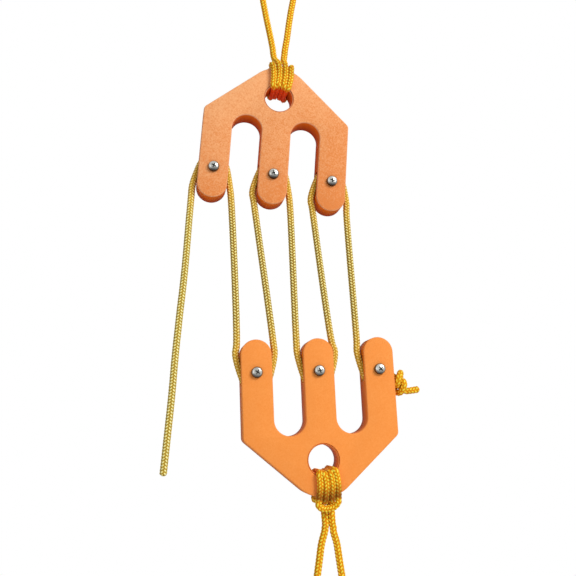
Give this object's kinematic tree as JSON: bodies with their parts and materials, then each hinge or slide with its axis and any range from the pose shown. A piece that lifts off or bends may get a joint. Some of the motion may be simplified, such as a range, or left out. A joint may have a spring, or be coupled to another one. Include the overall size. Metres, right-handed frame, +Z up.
{
  "type": "block and tackle",
  "caption": "Light tackle of two forked plastic blocks with ball-bearing sheaves in the leg tips, rove with one braided cord and hung in cord slings.",
  "frame": {"origin": "inside top of the upper sling loop, where the whole tackle hangs", "axes": "+Z up, along the hanging tackle; +Y away from the viewer, along the sheaves' axles; +X to the right, across the blocks"},
  "size_m": [0.111, 0.0146, 0.2871],
  "materials": {
    "orange_plastic": "matte printed plastic",
    "yellow_cord": "diamond-braided cord",
    "screw_steel": "bright plated steel",
    "bearing_steel": "ground steel"
  },
  "bodies": {
    "upper_sling": {"upper_sling_loop": "yellow_cord", "upper_sling_hitch": "yellow_cord"},
    "upper_block": {"upper_block_body": "orange_plastic", "upper_screw_1": "screw_steel", "upper_screw_2": "screw_steel", "upper_screw_3": "screw_steel", "upper_nut_1": "screw_steel", "upper_nut_2": "screw_steel", "upper_nut_3": "screw_steel", "upper_inner_race_1": "bearing_steel", "upper_inner_race_2": "bearing_steel", "upper_inner_race_3": "bearing_steel", "upper_cord_turn_1": "yellow_cord", "upper_cord_turn_2": "yellow_cord", "upper_cord_turn_3": "yellow_cord", "cord_fall_1": "yellow_cord", "cord_fall_2": "yellow_cord", "cord_fall_3": "yellow_cord", "cord_fall_4": "yellow_cord", "cord_fall_5": "yellow_cord", "hauling_line": "yellow_cord"},
    "upper_sheave_left": {"upper_sheave_1": "bearing_steel", "upper_ball_cage_1": "bearing_steel"},
    "upper_sheave_middle": {"upper_sheave_2": "bearing_steel", "upper_ball_cage_2": "bearing_steel"},
    "upper_sheave_right": {"upper_sheave_3": "bearing_steel", "upper_ball_cage_3": "bearing_steel"},
    "hauling_end_body": {"hauling_end": "yellow_cord"},
    "lower_block": {"lower_block_body": "orange_plastic", "lower_screw_1": "screw_steel", "lower_screw_2": "screw_steel", "lower_screw_3": "screw_steel", "lower_nut_1": "screw_steel", "lower_nut_2": "screw_steel", "lower_nut_3": "screw_steel", "lower_inner_race_1": "bearing_steel", "lower_inner_race_2": "bearing_steel", "lower_inner_race_3": "bearing_steel", "lower_cord_turn_1": "yellow_cord", "lower_cord_turn_2": "yellow_cord", "lower_cord_turn_3": "yellow_cord", "stopper_knot": "yellow_cord"},
    "lower_sheave_left": {"lower_sheave_1": "bearing_steel", "lower_ball_cage_1": "bearing_steel"},
    "lower_sheave_middle": {"lower_sheave_2": "bearing_steel", "lower_ball_cage_2": "bearing_steel"},
    "lower_sheave_right": {"lower_sheave_3": "bearing_steel", "lower_ball_cage_3": "bearing_steel"},
    "lower_sling": {"lower_sling_hitch": "yellow_cord", "lower_sling_loop": "yellow_cord"}
  },
  "joints": [
    {"name": "upper_block_swing", "type": "hinge", "parent": "upper_sling", "child": "upper_block", "pos_m": [0, 0, -0.0632], "axis": [0, 1, 0], "range_deg": [-25, 25]},
    {"name": "lower_block_travel", "type": "slide", "parent": "upper_block", "child": "lower_block", "axis": [0, 0, 1], "range_m": [-0.018, 0.045], "deforming": ["cord_fall_1", "cord_fall_2", "cord_fall_3", "cord_fall_4", "cord_fall_5"]},
    {"name": "hauling_end_pull", "type": "slide", "parent": "upper_block", "child": "hauling_end_body", "axis": [0, 0, -1], "range_m": [-0.09, 0.225], "deforming": ["hauling_line"]},
    {"name": "lower_sling_swing", "type": "hinge", "parent": "lower_block", "child": "lower_sling", "pos_m": [0.0195, 0, -0.2259], "axis": [0, 1, 0], "range_deg": [-25, 25]},
    {"name": "upper_sheave_left_spin", "type": "hinge", "parent": "upper_block", "child": "upper_sheave_left", "pos_m": [-0.02933, 0, -0.0988], "axis": [0, 1, 0], "continuous": true},
    {"name": "upper_sheave_middle_spin", "type": "hinge", "parent": "upper_block", "child": "upper_sheave_middle", "pos_m": [-0.00239, 0, -0.10052], "axis": [0, 1, 0], "continuous": true},
    {"name": "upper_sheave_right_spin", "type": "hinge", "parent": "upper_block", "child": "upper_sheave_right", "pos_m": [0.02456, 0, -0.10225], "axis": [0, 1, 0], "continuous": true},
    {"name": "lower_sheave_left_spin", "type": "hinge", "parent": "lower_block", "child": "lower_sheave_left", "pos_m": [-0.00906, 0, -0.18968], "axis": [0, 1, 0], "continuous": true},
    {"name": "lower_sheave_middle_spin", "type": "hinge", "parent": "lower_block", "child": "lower_sheave_middle", "pos_m": [0.01791, 0, -0.18853], "axis": [0, 1, 0], "continuous": true},
    {"name": "lower_sheave_right_spin", "type": "hinge", "parent": "lower_block", "child": "lower_sheave_right", "pos_m": [0.04489, 0, -0.18739], "axis": [0, 1, 0], "continuous": true}
  ],
  "couplings": [
    {"joint": "hauling_end_pull", "follows": "lower_block_travel", "ratio": 5},
    {"joint": "upper_sheave_right_spin", "follows": "lower_block_travel", "rad_per_m": -161.3},
    {"joint": "lower_sheave_middle_spin", "follows": "lower_block_travel", "rad_per_m": 322.6},
    {"joint": "upper_sheave_middle_spin", "follows": "lower_block_travel", "rad_per_m": -483.9},
    {"joint": "lower_sheave_left_spin", "follows": "lower_block_travel", "rad_per_m": 645.2},
    {"joint": "upper_sheave_left_spin", "follows": "lower_block_travel", "rad_per_m": -806.5}
  ]
}
